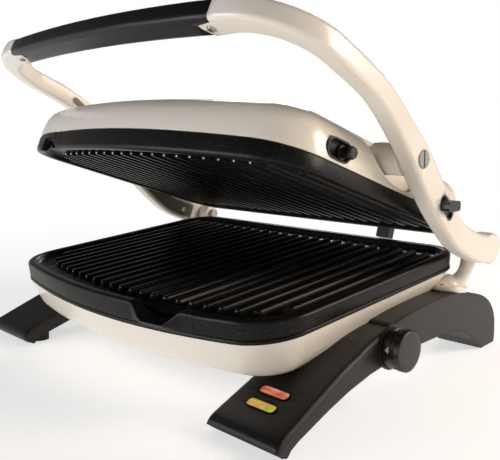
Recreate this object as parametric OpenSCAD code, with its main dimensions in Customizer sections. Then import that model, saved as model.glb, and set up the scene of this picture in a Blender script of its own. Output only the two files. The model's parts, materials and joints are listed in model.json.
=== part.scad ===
// Electric indoor grill with a hinged lid: two cast ribbed plates in moulded bowls,
// arched side legs, a bent tubular handle that carries the tilting lid.
// Millimetres, +Z up, the front towards -Y, the control side towards +X.

/* [Grill plates] */
// Width of each plate over its rim
plate_w = 300.4; // [280:0.2:310]
// Depth of each plate over its rim, at the middle
plate_d = 230.2; // [215:0.2:245]
// Radius of the bowed front edge
plate_bow_r = 535; // [420:5:900]
// Radius of the two front corners
plate_front_r = 38; // [28:1:46]
// Radius of the two rear corners
plate_rear_r = 25; // [18:1:34]
// Height of the plate's rim side at the sides
rim_h = 11; // [9:0.5:14]
// Extra height of the rim side at the middle of the front
rim_front_extra = 3.5; // [0:0.5:5]
// How far the rim stands above the rib crests
rim_lip = 1.1; // [0.4:0.1:2]
// Flat rear margin between the rear rim edge and the ribs
rear_margin = 20.8; // [14:0.2:26]
// Width of the drain channel in front of the ribs
drain_w = 21; // [14:1:28]
// Distance between ribs
rib_pitch = 12; // [10:0.5:12]
// Number of ribs
rib_count = 23; // [15:2:23]
// Width of a rib at its crest
rib_top_w = 3.4; // [2:0.2:5]
// Width of a rib at its root
rib_root_w = 5.6; // [4:0.2:7]
// Height of the ribs
rib_h = 3.6; // [2:0.2:5]
// Thickness of the plate's floor under the ribs
plate_floor_t = 5; // [4:0.5:7]

/* [Pouring spout] */
// Sideways place of the spout
spout_x = 62; // [30:1:85]
// Width of the spout's mouth at the top of the rim
spout_w = 46; // [30:1:56]
// Width of the spout's flat bottom
spout_bottom_w = 20; // [10:1:26]
// Depth of the spout below the rib crests
spout_depth = 9.5; // [6:0.5:10]
// How far the spout's lip stands out of the rim
spout_out = 5; // [3:0.5:8]

/* [Base bowl] */
// Height of the rib crests above the table, at the ribs' rear ends
plate_z = 83.9; // [80:0.1:90]
// Slope of the lower plate towards the front, in degrees
plate_slope = 5.31; // [3:0.05:7]
// Depth of the moulded bowl below the plate's rim
bowl_h = 28; // [24:0.5:30]
// Wall of the moulded bowls
bowl_wall = 3; // [2:0.1:4]
// Edge of the bowl's underside cover, inwards from the plate's rim
floor_inset = 44; // [40:0.5:48]
// Overlap of the underside cover on the bowl
floor_edge = 6; // [3:0.5:8]
// Thickness of the bowl's underside cover
floor_t = 2; // [1.5:0.1:3]

/* [Legs] */
// How far the legs reach in under the plate's side
leg_reach = 36.85; // [34:0.05:44]
// How far the legs stand out past the plate's side at the front
leg_splay = 19.8; // [14:0.2:28]
// How far the legs stand out past the plate's side at the rear
leg_rear_splay = 0; // [-2:0.2:6]
// Front end of the legs
leg_front_y = -206; // [-215:1:-200]
// Rear end of the legs
leg_rear_y = 80; // [70:1:90]
// Highest level of the legs' upper edge
leg_top_z = 56; // [52:0.5:60]
// Height of the arch under the legs
leg_arch_z = 29; // [22:0.5:32]
// Rounding along the legs' upper edges
leg_round = 2.4; // [1.2:0.2:4]
// Diameter of the rubber feet
foot_d = 15; // [10:0.5:18]
// Gap under the leg moulding left by the feet
foot_h = 0.8; // [0.4:0.1:2]

/* [Control side] */
// Place of the seam behind the control cover
seam_y = -88; // [-100:1:-80]
// Step of the control cover below the leg's surface
cover_step = 1.4; // [0.6:0.2:2.2]
// Depth of the control cover's skirt
cover_h = 5; // [4:0.5:5.5]
// Place of the dial along the leg
dial_y = -92; // [-100:1:-84]
// Height of the dial's axis
dial_z = 37.5; // [36:0.5:39]
// Diameter of the dial's cap
dial_d = 27; // [22:0.5:29]
// How far the dial's cap stands out past the plate's side
dial_out = 27.3; // [24:0.1:36]
// Diameter of the dial's shaft
dial_shaft_d = 6; // [5:0.5:8]
// Length of each lens
lens_l = 22; // [16:1:26]
// Width of each lens
lens_w = 6.4; // [4:0.2:8]
// Distance between the two lenses along the leg
lens_pitch = 12; // [9:0.5:15]

/* [Hinge] */
// Place of the hinge axis from front to rear
hinge_y = 27; // [26:0.5:32]
// Height of the hinge axis
hinge_z = 88; // [84:0.5:92]
// Diameter of the hinge barrels
barrel_d = 16; // [13:0.5:17]
// How far the hinge barrels reach in past the plate's side
barrel_reach = 13.2; // [8:0.1:15]
// Diameter of the hinge pins
hinge_pin_d = 8; // [6:0.5:9]
// Diameter of the hinge columns
column_d = 12; // [9:0.5:14]
// Thickness of the columns' oval flanges
flange_t = 4; // [3:0.5:6]
// Radial clearance of a pin in its bore
pin_gap = 0.06; // [0.02:0.01:0.1]

/* [Handle] */
// Gap between the plate's side and each arm
arm_gap = 7.3; // [5:0.1:12]
// Width of an arm
arm_w = 13.5; // [11:0.5:15]
// Diameter of the arm's rounded lower end
lobe_d = 23.4; // [20:0.2:26]
// Slope of the handle's bow, in degrees
bow_slope = 26; // [24:0.5:28]
// Grip's middle line at its ends, from front to rear
grip_y = -194.4; // [-200:0.2:-190]
// Height of the grip's middle line at its ends
grip_z = 236.4; // [232:0.2:240]
// Depth of the grip, front edge to rear edge
grip_depth = 19; // [16:0.5:24]
// Thickness of the grip
grip_t = 14; // [12:0.5:16]
// How far the grip bows forward at its middle
grip_bow = 5.2; // [2:0.2:10]
// Straight end of each arm ahead of the grip
arm_stub = 6.05; // [2:0.05:20]
// Radius of the bow's corners, on the arm's middle line
bow_r = 43.2; // [38:0.2:50]

/* [Lid] */
// Lid pivot from front to rear
pivot_y = -74; // [-80:0.5:-68]
// Height of the lid pivot
pivot_z = 157; // [150:0.5:165]
// Slope of the lid, rear end down, in degrees
lid_slope = 17.48; // [14:0.02:20]
// Lid pivot ahead of the ribs' rear ends, along the upper plate
lid_pivot_run = 91.2; // [84:0.2:98]
// Lid pivot above the upper plate's rib crests
lid_pivot_rise = 29.5; // [26:0.5:33]
// Height of the lid moulding above the upper plate's rim
lid_h = 32; // [26:0.5:38]
// Radius of the scoop around the lid pivot
scoop_r = 48; // [42:1:50]
// Depth of the scoop, inwards from the plate's side
scoop_in = 13.7; // [10:0.1:18]
// Diameter of the lid pivot pins
pivot_pin_d = 7; // [5:0.5:8]
// Diameter of the slotted pivot screw heads
pivot_head_d = 11.6; // [10:0.2:14]

/* [Hidden] */
gap = 0.3;

// ---------------------------------------------------------------- helpers
function lerp(a, b, t) = a + (b - a) * t;
function rev(l) = [for (i = [len(l) - 1:-1:0]) l[i]];
function cat(l) = [for (a = l) for (b = a) b];
// smooth curve through knots that are rows of equal length
function knot(k, i) = k[max(0, min(len(k) - 1, i))];
function spline(k, i, t) =
  let (a = knot(k, i - 1), b = knot(k, i), c = knot(k, i + 1), d = knot(k, i + 2))
  0.5 * (2 * b + (c - a) * t + (2 * a - 5 * b + 4 * c - d) * t * t
    + (3 * b - a - 3 * c + d) * t * t * t);
function through(k, n) = concat([for (i = [0:len(k) - 2]) for (j = [0:n - 1])
  spline(k, i, j / n)], [k[len(k) - 1]]);
// value of a piecewise straight table of [position, value] rows at a position
function look(tab, y, i = 0) = i > len(tab) - 2 ? tab[len(tab) - 1][1]
  : y <= tab[i][0] ? tab[i][1]
  : y < tab[i + 1][0]
    ? lerp(tab[i][1], tab[i + 1][1], (y - tab[i][0]) / (tab[i + 1][0] - tab[i][0]))
  : look(tab, y, i + 1);

// clockwise outline cut into triangles, shortest cut first
function turn(a, b, c) = (c[0] - a[0]) * (b[1] - a[1]) - (b[0] - a[0]) * (c[1] - a[1]);
function holds(a, b, c, p) = turn(a, b, p) > -1e-7 && turn(b, c, p) > -1e-7 && turn(c, a, p) > -1e-7;
function cuts(p, ids) = let (n = len(ids)) [for (k = [0:n - 1])
  let (i = ids[(k + n - 1) % n], j = ids[k], l = ids[(k + 1) % n])
  if (turn(p[i], p[j], p[l]) > 1e-6 &&
    len([for (q = ids) if (q != i && q != j && q != l && holds(p[i], p[j], p[l], p[q])) 1]) == 0)
  [norm(p[i] - p[l]), k]];
function triangles(p, ids) = let (n = len(ids)) n < 4 ? [ids]
  : let (c = cuts(p, ids), best = min([for (e = c) e[0]]), k = [for (e = c) if (e[0] == best) e[1]][0])
  concat([[ids[(k + n - 1) % n], ids[k], ids[(k + 1) % n]]],
    triangles(p, [for (j = [0:n - 1]) if (j != k) ids[j]]));

// skin over closed rings of equal count, with a flat cap at each end
module loft(rings, cap = []) {
  n = len(rings[0]);
  m = len(rings);
  sides = [for (i = [0:m - 2]) for (j = [0:n - 1])
    let (a = i * n + j, b = i * n + (j + 1) % n, c = a + n, d = b + n)
    each [[a, d, b], [a, c, d]]];
  ends = len(cap) > 0 ? cap : [[for (j = [0:n - 1]) j]];
  polyhedron(points = cat(rings), faces = concat(sides, ends,
    [for (t = ends) [for (j = rev(t)) (m - 1) * n + j]]), convexity = 8);
}

// ---------------------------------------------------------------- placing
// the free-standing box is centred on the origin
se = sin(bow_slope);
ce = cos(bow_slope);
// places across, from the plate's side
side_x = plate_w / 2;
arm_in_x = side_x + arm_gap;
arm_x = arm_in_x + arm_w / 2;
grip_half = arm_x - bow_r - arm_stub;
dial_face_x = side_x + dial_out;
barrel_x = side_x - barrel_reach;
scoop_x = side_x - scoop_in;
leg_x0 = side_x - leg_reach;
leg_out_front = side_x + leg_splay;
leg_out_rear = side_x + leg_rear_splay;
box_x = side_x - 10.2;
lens_x = side_x - 11.2;
hoop_edge_y = grip_y - grip_depth / 2 * ce - grip_t / 2 * se;
pivot_out = 0.62;
box_left = -(arm_in_x + arm_w + pivot_out);
box_right = dial_face_x;
box_front = hoop_edge_y - grip_bow * cos(bow_slope);
place_x = -(box_left + box_right) / 2;
place_y = -(box_front + leg_rear_y) / 2;
module place() translate([place_x, place_y, 0]) children();
module lower_frame() translate([0, 0, plate_z]) rotate([plate_slope, 0, 0]) children();
module lid_frame() translate([0, pivot_y, pivot_z]) rotate([-lid_slope, 0, 0])
  translate([0, lid_pivot_run, -lid_pivot_rise]) children();
module both() { children(); mirror([1, 0, 0]) children(); }

// ---------------------------------------------------------------- plate outline
// closed outline with a bowed front: half width, front, rear, corner radii, bow radius
function shape(w, yf, yr, rf, rr, br, n = 6) =
  let (cy = yf + br - sqrt(pow(br - rf, 2) - pow(w - rf, 2)),
       phi = asin((w - rf) / (br - rf)),
       right = concat(
         [for (k = [1:n]) let (a = phi * k / n) [br * sin(a), yf + br - br * cos(a)]],
         [for (k = [1:n]) let (a = lerp(phi, 90, k / n))
           [w - rf + rf * sin(a), cy - rf * cos(a)]],
         [for (k = [0:n]) let (a = 90 * k / n)
           [w - rr + rr * cos(a), yr - rr + rr * sin(a)]]))
  concat([[0, yf]], right, [for (k = [len(right) - 1:-1:0]) [-right[k][0], right[k][1]]]);
front_y = rear_margin - plate_d;
function rim_shape(i) = shape(plate_w / 2 - i, front_y + i, rear_margin - i,
  max(5, plate_front_r - i), max(4, plate_rear_r - i), plate_bow_r - i);
// the parting line drops towards the middle of the front
function part_w(y) = -(rim_h - rim_lip)
  - rim_front_extra * pow(max(0, (-150 - y) / (-150 - front_y)), 2);
function ring(i, w) = [for (p = rim_shape(i)) [p[0], p[1], w]];
function part_ring(i, dw) = [for (p = rim_shape(i)) [p[0], p[1], part_w(p[1]) + dw]];
under_w = -rib_h - plate_floor_t;
field = shape(plate_w / 2 - 14, front_y + drain_w, 0.01, 36, 1, plate_bow_r - drain_w);

module plate_tray() loft([ring(12, under_w), ring(11, under_w), part_ring(6, 0.02),
  part_ring(1.6, 0), part_ring(0.7, 1), ring(0.1, -2), ring(0.4, 0), ring(1.4, rim_lip * 0.8),
  ring(3, rim_lip), ring(5.2, rim_lip), ring(6.8, rim_lip * 0.4), ring(8, -1.2),
  ring(9.4, -rib_h)]);
module rib() rotate([90, 0, 0]) translate([0, 0, -1]) linear_extrude(plate_d)
  polygon([[-rib_root_w / 2, -rib_h - 0.5], [rib_root_w / 2, -rib_h - 0.5],
    [rib_root_w / 2, -rib_h], [rib_top_w / 2 + 0.25, -0.5], [rib_top_w / 2 - 0.4, 0],
    [-rib_top_w / 2 + 0.4, 0], [-rib_top_w / 2 - 0.25, -0.5], [-rib_root_w / 2, -rib_h]]);
module ribs() intersection() {
  for (k = [0:rib_count - 1]) translate([(k - (rib_count - 1) / 2) * rib_pitch, 0, 0]) rib();
  translate([0, 0, -rib_h - 0.4]) linear_extrude(rib_h + 1) polygon(field);
}
spout_line = [[-spout_w / 2, rim_lip + 1], [-spout_w / 2 + 3, -1],
  [-spout_bottom_w / 2 - 3, -spout_depth + 2], [-spout_bottom_w / 2, -spout_depth],
  [spout_bottom_w / 2, -spout_depth], [spout_bottom_w / 2 + 3, -spout_depth + 2],
  [spout_w / 2 - 3, -1], [spout_w / 2, rim_lip + 1]];
spout_slope = 20;
module spout_run(out, grow)
  translate([spout_x, front_y + spout_x * spout_x / plate_bow_r / 2, 0])
  rotate([spout_slope, 0, 0]) translate([0, 20, 0]) rotate([90, 0, 0]) linear_extrude(20 + out)
  polygon([for (p = spout_line)
    [p[0] + sign(p[0]) * grow, p[1] < 0 ? p[1] - grow : p[1] + 12]]);
module spout_lip() intersection() {
  spout_run(spout_out, 2.6);
  translate([spout_x - 50, front_y - 10, -20]) cube([100, 17, 20 + rim_lip]);
}
module plate_body() { plate_tray(); ribs(); }

// ---------------------------------------------------------------- bowls
bowl_bottom = -(rim_h - rim_lip) - bowl_h;
// side profile of the bowl as [inset, share of the depth]
bowl_side = [[1, 0], [1.5, 0.05], [2.8, 0.15], [5, 0.28], [8.5, 0.44], [12.5, 0.65],
  [17, 0.82], [23, 0.94], [29, 0.985], [35, 1]];
lid_side = [[1, 0], [1.2, 0.1], [2, 0.3], [3.6, 0.5], [6.2, 0.66], [10, 0.78], [15, 0.86],
  [22, 0.92], [34, 0.965], [52, 0.99], [75, 1]];
// profile moved inwards by a wall
function inward(prof, h, d) = [for (i = [0:len(prof) - 1])
  let (a = prof[max(i - 1, 0)], b = prof[min(i + 1, len(prof) - 1)],
       tx = b[0] - a[0], ty = (b[1] - a[1]) * h, l = norm([tx, ty]))
  [prof[i][0] + d * ty / l, max(0, prof[i][1] - d * tx / l / h)]];
function bowl_ring(p, h, dw) = [for (q = rim_shape(p[0]))
  [q[0], q[1], lerp(part_w(q[1]) - dw, -(rim_h - rim_lip) - h, p[1])]];
// closed tube of rings: the last ring joins the first
module loop_loft(rings) {
  n = len(rings[0]);
  m = len(rings);
  polyhedron(points = cat(rings), faces = [for (i = [0:m - 1]) for (j = [0:n - 1])
    let (a = i * n + j, b = i * n + (j + 1) % n, c = (a + n) % (n * m), d = (b + n) % (n * m))
    each [[a, d, b], [a, c, d]]], convexity = 8);
}
module bowl_skin(prof, h) {
  inner = inward(prof, h, bowl_wall);
  loft(concat([for (p = rev(prof)) bowl_ring(p, h, 0.1)],
    [for (p = inner) bowl_ring(p, h, 0.1)]));
}
// straight run of the bowl's cross-section, used to let the bowl into the legs
module bowl_envelope(g) intersection() {
  translate([0, rear_margin + 3, 0]) rotate([90, 0, 0]) linear_extrude(plate_d + 6)
    polygon(concat([[-plate_w / 2 - g, 6]],
      [for (p = bowl_side) [-plate_w / 2 + p[0] - g, -rim_h + rim_lip - g - p[1] * bowl_h]],
      [for (i = [len(bowl_side) - 1:-1:0])
        [plate_w / 2 - bowl_side[i][0] + g, -rim_h + rim_lip - g - bowl_side[i][1] * bowl_h]],
      [[plate_w / 2 + g, 6]]));
  translate([0, 0, -80]) linear_extrude(100) polygon(rim_shape(-g));
}
floor_y = (front_y + rear_margin) / 2 - 0.7;
post_x = side_x - 84.2;
post_dy = plate_d / 2 - 67.1;
screw_r = 1.7;
module at_posts() for (sx = [-1, 1]) for (sy = [-1, 1])
  translate([sx * post_x, floor_y + sy * post_dy, 0]) children();
module pad(w, d, r, h) linear_extrude(h) {
  square([w - 2 * r, d], center = true);
  square([w, d - 2 * r], center = true);
  for (sx = [-1, 1]) for (sy = [-1, 1])
    translate([sx * (w / 2 - r), sy * (d / 2 - r)]) circle(r, $fn = 32);
}
floor_in = bowl_bottom + bowl_wall;
module base_shell() color("ivory") place() lower_frame() {
  inner = inward(bowl_side, bowl_h, bowl_wall);
  loop_loft(concat([ring(floor_inset + floor_edge, bowl_bottom)],
    [for (p = rev(bowl_side)) bowl_ring(p, bowl_h, 0.1)],
    [for (p = inner) bowl_ring(p, bowl_h, 0.1)], [ring(floor_inset + floor_edge, floor_in)]));
}
module base_floor() color("dimgray") place() lower_frame()
  translate([0, 0, floor_in + 0.02]) difference() {
    linear_extrude(floor_t) polygon(rim_shape(floor_inset));
    for (k = [-5:5]) translate([k * 9 - 2, floor_y - 22, -1]) cube([4, 44, floor_t + 2]);
    at_posts() translate([0, 0, -1]) cylinder(r = screw_r + 0.1, h = 9);
  }
refl_w = -24;
module stand(z0, z1, zs) difference() {
  union() {
    translate([0, 0, z0]) cylinder(r = 6, h = zs - z0);
    translate([0, 0, z0]) cylinder(r = 4, h = z1 - z0);
  }
  translate([0, 0, z0 - 1]) cylinder(r = screw_r, h = 13);
}
post_z0 = floor_in + 0.02 + floor_t;
module plate_posts() color("silver") place() lower_frame()
  at_posts() stand(post_z0 + 0.02, under_w - 0.05, refl_w - 0.02);
module screw(r, l, hr, hh) {
  cylinder(r = r, h = l);
  translate([0, 0, -hh]) difference() {
    cylinder(r1 = hr * 0.8, r2 = hr, h = hh);
    translate([-hr * 0.55, -0.4, -0.1]) cube([hr * 1.1, 0.8, hh * 0.5]);
    translate([-0.4, -hr * 0.55, -0.1]) cube([0.8, hr * 1.1, hh * 0.5]);
  }
}
module floor_screws() color("silver") place() lower_frame()
  at_posts() translate([0, 0, floor_in]) screw(screw_r - 0.03, 12, 3.1, 1.9);

// ---------------------------------------------------------------- heating
elem_r = 3.25;
elem_x = 98;
elem_turn = 26;
term_x = 20;
module elbow(x, y, a) translate([x, y, 0]) rotate([0, 0, a])
  rotate_extrude(angle = 90, $fn = 48) translate([elem_turn, 0]) circle(elem_r, $fn = 24);
module bar(x, y, l, a) translate([x, y, 0]) rotate([0, 0, a]) rotate([0, 90, 0])
  cylinder(r = elem_r, h = l, $fn = 24);
elem_back = -22;
elem_front = -170;
module element_loop() translate([0, 0, under_w - elem_r - 0.05]) {
  for (m = [0, 1]) mirror([m, 0, 0]) {
    elbow(elem_x - elem_turn, elem_back - elem_turn, 0);
    elbow(elem_x - elem_turn, elem_front + elem_turn, -90);
    bar(elem_x, elem_front + elem_turn, elem_back - elem_front - 2 * elem_turn, 90);
    bar(term_x, elem_back, elem_x - elem_turn - term_x, 0);
    bar(-0.01, elem_front, elem_x - elem_turn + 0.01, 0);
    translate([term_x, elem_back, 0]) sphere(r = elem_r, $fn = 24);
    translate([term_x, elem_back, -14]) cylinder(r = elem_r, h = 14, $fn = 24);
    translate([term_x - 0.4, elem_back - 3, -20.9]) cube([0.8, 6, 7.9]);
  }
}
module heat_shield(t) difference() {
  linear_extrude(t) polygon(rim_shape(24));
  at_posts() translate([0, 0, -1]) cylinder(r = 4.05, h = 3);
  for (sx = [-1, 1]) translate([sx * term_x, elem_back, -1]) cylinder(r = elem_r + 2, h = 3);
}
module lower_element() color("dimgray") place() lower_frame() element_loop();
module lower_reflector() color("silver") place() lower_frame()
  translate([0, 0, refl_w]) heat_shield(0.8);
module lower_plate() color([0.09, 0.09, 0.1]) place() lower_frame() difference() {
  union() { plate_body(); spout_lip(); }
  spout_run(spout_out + 1, 0);
}

// ---------------------------------------------------------------- legs
function leg_out(y) = lerp(leg_out_front, leg_out_rear, (y - leg_front_y) / (leg_rear_y - leg_front_y));
// upper edge from the nose to the rear foot, as shares of length and height
leg_upper = [for (p = [[0.000, 0.20], [0.066, 0.34], [0.133, 0.48], [0.199, 0.62], [0.276, 0.75],
  [0.346, 0.855], [0.42, 0.91], [0.49, 0.962], [0.59, 0.998], [0.70, 1.0], [0.762, 0.97],
  [0.825, 0.91], [0.892, 0.82], [0.944, 0.70], [0.979, 0.536], [0.9965, 0.357], [1, 0.1]])
  [lerp(leg_front_y, leg_rear_y, p[0]), leg_top_z * p[1]]];
// arch between nose and rear foot, as shares of length and height
leg_lower = [for (p = [[0.032, 0.03], [0.043, 0.14], [0.066, 0.24], [0.101, 0.345],
  [0.168, 0.55], [0.241, 0.73], [0.318, 0.86], [0.40, 0.93], [0.542, 1.0], [0.63, 0.985],
  [0.692, 0.965], [0.741, 0.895], [0.79, 0.75], [0.839, 0.51], [0.874, 0.31], [0.905, 0.07],
  [0.909, 0.03]]) [lerp(leg_front_y, leg_rear_y, p[0]), leg_arch_z * p[1]]];
leg_nose = [[leg_front_y + 8, foot_h], [leg_front_y + 4.2, 2.2]];
leg_line_top = through(leg_upper, 2);
seam_z = look(leg_line_top, seam_y);
// skin over a side view that is rounded where it is flagged soft
module side_loft(side, soft0, soft1) {
  n = len(side);
  nrm = [for (i = [0:n - 1]) let (a = side[(i + n - 1) % n], b = side[(i + 1) % n],
    l = norm(b - a)) (i >= soft0 && i < soft1) ? [(b[1] - a[1]) / l, -(b[0] - a[0]) / l] : [0, 0]];
  r = leg_round;
  function slice(d, s, f) = [for (i = [0:n - 1]) let (p = side[i] + d * nrm[i])
    [f == 0 ? leg_x0 + s : leg_out(p[0]) - s, p[0], p[1]]];
  flat = [for (i = [0:n - 1]) side[i] + r * nrm[i]];
  loft([slice(r, 0, 1), slice(0.3 * r, 0.3 * r, 1), slice(0, r, 1),
    slice(0, r, 0), slice(0.3 * r, 0.3 * r, 0), slice(r, 0, 0)], triangles(flat, [for (i = [0:n - 1]) i]));
}
// leg with its upper edge lowered ahead of the seam
module leg_form(drop = 0) {
  front = [for (p = leg_line_top) if (p[0] < seam_y - 0.5) [p[0], p[1] - drop]];
  back = [for (p = leg_line_top) if (p[0] > seam_y + 0.5) p];
  step = drop == 0 ? [[seam_y, seam_z]] : [[seam_y, seam_z - drop], [seam_y + 0.05, seam_z]];
  nose = drop == 0 ? [[leg_front_y + 1.3, 5.2]] : [];
  arch = [for (p = rev(leg_lower)) [p[0], max(foot_h, p[1])]];
  upper = concat(leg_nose, nose, front, step, back);
  side_loft(concat(upper, [[leg_rear_y - 0.5, foot_h]], arch), 1,
    drop == 0 ? len(upper) : 1);
}
module cover_form() {
  front = [for (p = leg_line_top) if (p[0] < seam_y - 0.5) p];
  upper = concat([for (p = front) [p[0], p[1] - cover_step]], [[seam_y - 0.1, seam_z - cover_step]]);
  lower = concat([[seam_y - 0.1, seam_z - cover_h + 0.05]],
    [for (p = rev(front)) [p[0], p[1] - cover_h + 0.05]]);
  side_loft(concat(upper, lower), 0, len(upper));
}
// feet in the nose and the heel: place along and across, and height of the seat
feet = [for (f = [[leg_x0 + 11.6, leg_front_y + 20], [leg_x0 + 18.6, leg_rear_y - 14]])
  [f[0], f[1], max(3, look(leg_lower, f[1] + foot_d / 2 * (f[1] < 0 ? 1 : 0))) + 0.3]];
module at_feet() for (f = feet) let ($seat = f[2]) translate([f[0], f[1], 0]) children();
seat_t = 8.3;
post_screw_y = 12;
post_screw_l = 12;
module flange_frame() translate([side_x - 5.2, 12.5, leg_top_z - 1.9]) rotate([-seat_t, 0, 0]) children();
module oval(g, h) linear_extrude(h) {
  translate([0, -2.5]) circle(14 + g, $fn = 48);
  translate([0, 2.5]) circle(14 + g, $fn = 48);
  square([28 + 2 * g, 5], center = true);
}
cover_y0 = leg_front_y + 44;
cover_y1 = leg_rear_y - 56;
cover_t = 2;
// strip that follows the arch between two stations, thickness t above it
function arch_pts(a) = [for (p = leg_lower) if (p[0] > cover_y0 && p[0] < cover_y1) [p[0], p[1] + a]];
module arch_strip(a, b, g) translate([leg_x0 + 6 - g, 0, 0]) rotate([90, 0, 90])
  linear_extrude(27 + 2 * g) polygon(concat(
    [[cover_y0 - g, look(leg_lower, cover_y0) + a]], arch_pts(a),
    [for (t = [a, b]) [cover_y1 + g, look(leg_lower, cover_y1) + t]],
    rev(arch_pts(b)), [[cover_y0 - g, look(leg_lower, cover_y0) + b]]));
leg_screw_y = [-140, -30];
gland_depth = 6.5;
module at_leg_screws() for (y = leg_screw_y) translate([leg_x0 + 19, y, look(leg_lower, y)]) children();
module leg_cut() {
  lower_frame() bowl_envelope(gap);
  arch_strip(-3, cover_t, 0.15);
  at_leg_screws() cylinder(r = screw_r, h = cover_t + 8);
  at_feet() translate([0, 0, -1]) cylinder(d = foot_d + 0.2, h = $seat + 1.05);
  flange_frame() oval(0.25, 12);
  at_post_screws(-10) cylinder(r = screw_r, h = post_screw_l);
}
module gland_frame() translate([leg_x0 + 14, leg_rear_y - gland_depth, 14]) rotate([-90, 0, 0]) children();
module leg_half(drop) difference() {
  leg_form(drop);
  leg_cut();
}
dial_leg_x = leg_out(dial_y);
bezel_x = dial_leg_x + 0.03;
side_turn = -atan((leg_out_rear - leg_out_front) / (leg_rear_y - leg_front_y));
module leg_left() color([0.13, 0.13, 0.13]) place() mirror([1, 0, 0]) leg_half(0);
module leg_right() color([0.13, 0.13, 0.13]) place() difference() {
  leg_half(cover_h);
  translate([box_x, dial_y - 13, dial_z - 7]) cube([16, 26, 11.8]);
  translate([box_x + 9, dial_y, dial_z]) rotate([0, 90, 0])
    cylinder(d = dial_shaft_d + 2 * pin_gap + 1, h = 30);
  lamp_seats() lamp_tube(0.3);
  gland_frame() cylinder(r = 6.05, h = 9);
  gland_frame() translate([0, 0, 3.15]) cylinder(r = 7.6, h = 9);
}
lens_y = -175;
lens_tilt = 22.8;
module lens_frame(k) let (y = lens_y - k * lens_pitch * cos(lens_tilt))
  translate([lens_x, y, look(leg_line_top, y) - cover_step]) rotate([lens_tilt, 0, 0]) children();
module slot_shape(l, w) {
  square([l - w, w], center = true);
  for (s = [-1, 1]) translate([s * (l - w) / 2, 0]) circle(w / 2, $fn = 32);
}
lens_depth = (cover_h - cover_step) * cos(lens_tilt) - 0.15;
module lens(g, t) translate([0, 0, -lens_depth - g]) linear_extrude(t)
  slot_shape(lens_l + 2 * g, lens_w + 2 * g);
module lamp_seats() for (k = [0, 1]) lens_frame(k) translate([0, 0, -lens_depth - 2.2]) children();
module lamp_tube(g) translate([-6 - g, 0, 0]) rotate([0, 90, 0])
  cylinder(r = 2 + g, h = 12 + 2 * g, $fn = 24);
module control_cover() color([0.1, 0.1, 0.1]) place() difference() {
  cover_form();
  lower_frame() bowl_envelope(gap);
  for (k = [0, 1]) lens_frame(k) lens(0.1, 30);
}
module lens_body(k) lens_frame(k) lens(0, lens_depth + 0.6);
module power_lens() color("red") place() lens_body(0);
module ready_lens() color("gold") place() lens_body(1);
module lamps() color("orange") place() lamp_seats() lamp_tube(0);
module leg_cover_right() color([0.16, 0.16, 0.16]) place() leg_lid();
module leg_cover_left() color([0.16, 0.16, 0.16]) place() mirror([1, 0, 0]) leg_lid();
module leg_lid() difference() {
  arch_strip(0, cover_t - 0.1, 0);
  at_leg_screws() translate([0, 0, -2]) cylinder(r = screw_r + 0.1, h = 9);
  at_leg_screws() translate([0, 0, -3]) cylinder(r = 3.1, h = 3.02);
}
module leg_screws() color("silver") place() both() at_leg_screws() screw(screw_r - 0.03, 9, 3, 1.6);
module rubber_feet() color([0.2, 0.2, 0.2]) place() both() at_feet() difference() {
  cylinder(d = foot_d, h = $seat);
  translate([0, 0, -0.1]) cylinder(d = foot_d * 0.45, h = 0.9);
}

// ---------------------------------------------------------------- hinge columns
col_a = [side_x - 3.7, 15.5, leg_top_z];
col_b = [side_x - 0.2, hinge_y, hinge_z];
module rod(a, b, r) translate(a) let (v = b - a, l = norm(v))
  rotate([0, acos(v[2] / l), atan2(v[1], v[0])]) cylinder(r = r, h = l);
module at_post_screws(z) flange_frame() for (sy = [-1, 1]) translate([0, sy * post_screw_y, z]) children();
module post() difference() {
  union() {
    flange_frame() oval(0, flange_t);
    rod(col_a, col_b, column_d / 2);
    translate([barrel_x, hinge_y, hinge_z]) rotate([0, 90, 0])
      cylinder(d = barrel_d, h = arm_in_x - gap - barrel_x);
  }
  translate([barrel_x + 3, hinge_y, hinge_z]) rotate([0, 90, 0])
    cylinder(d = hinge_pin_d + 2 * pin_gap, h = 60);
  flange_frame() translate([-30, -30, -20]) cube([60, 60, 20]);
  lower_frame() bowl_envelope(gap);
  at_post_screws(-1) cylinder(r = screw_r + 0.1, h = 9);
}
module post_right() color("ivory") place() post();
module post_left() color("ivory") place() mirror([1, 0, 0]) post();
module post_screws() color("silver") place() both()
  at_post_screws(flange_t) mirror([0, 0, 1]) screw(screw_r - 0.03, post_screw_l, 2.8, 1.5);
module hinge_pins() color("silver") place() both() translate([barrel_x + 3.1, hinge_y, hinge_z])
  rotate([0, 90, 0]) cylinder(d = hinge_pin_d, h = arm_in_x + arm_w - 2.4 - barrel_x - 3.1);

// ---------------------------------------------------------------- controls
module thermostat() color("gray") place() {
  translate([box_x + 0.3, dial_y - 12, dial_z - 6.8]) cube([11, 24, 11.2]);
  translate([box_x + 11, dial_y, dial_z]) rotate([0, 90, 0]) difference() {
    cylinder(r = 4.2, h = 4.5);
    translate([0, 0, 1]) cylinder(d = dial_shaft_d + 2 * pin_gap, h = 8);
  }
}
module dial_bezel() color([0.08, 0.08, 0.08]) place() translate([bezel_x, dial_y, dial_z])
  difference() {
    rotate([0, 90, 0]) translate([0, 0, -1]) cylinder(r = dial_d / 2 + 1.2, h = 3.2);
    rotate([0, 90, 0]) translate([0, 0, -2]) cylinder(r = dial_shaft_d / 2 + 1, h = 9);
    rotate([0, 90, 0]) translate([0, 0, 1.2]) cylinder(r = dial_d / 2 - 0.4, h = 9);
    rotate([0, 0, side_turn]) translate([-9, -30, -30]) cube([9, 60, 60]);
  }
dial_x0 = bezel_x + 1.5;
dial_len = dial_face_x - dial_x0;
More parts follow.
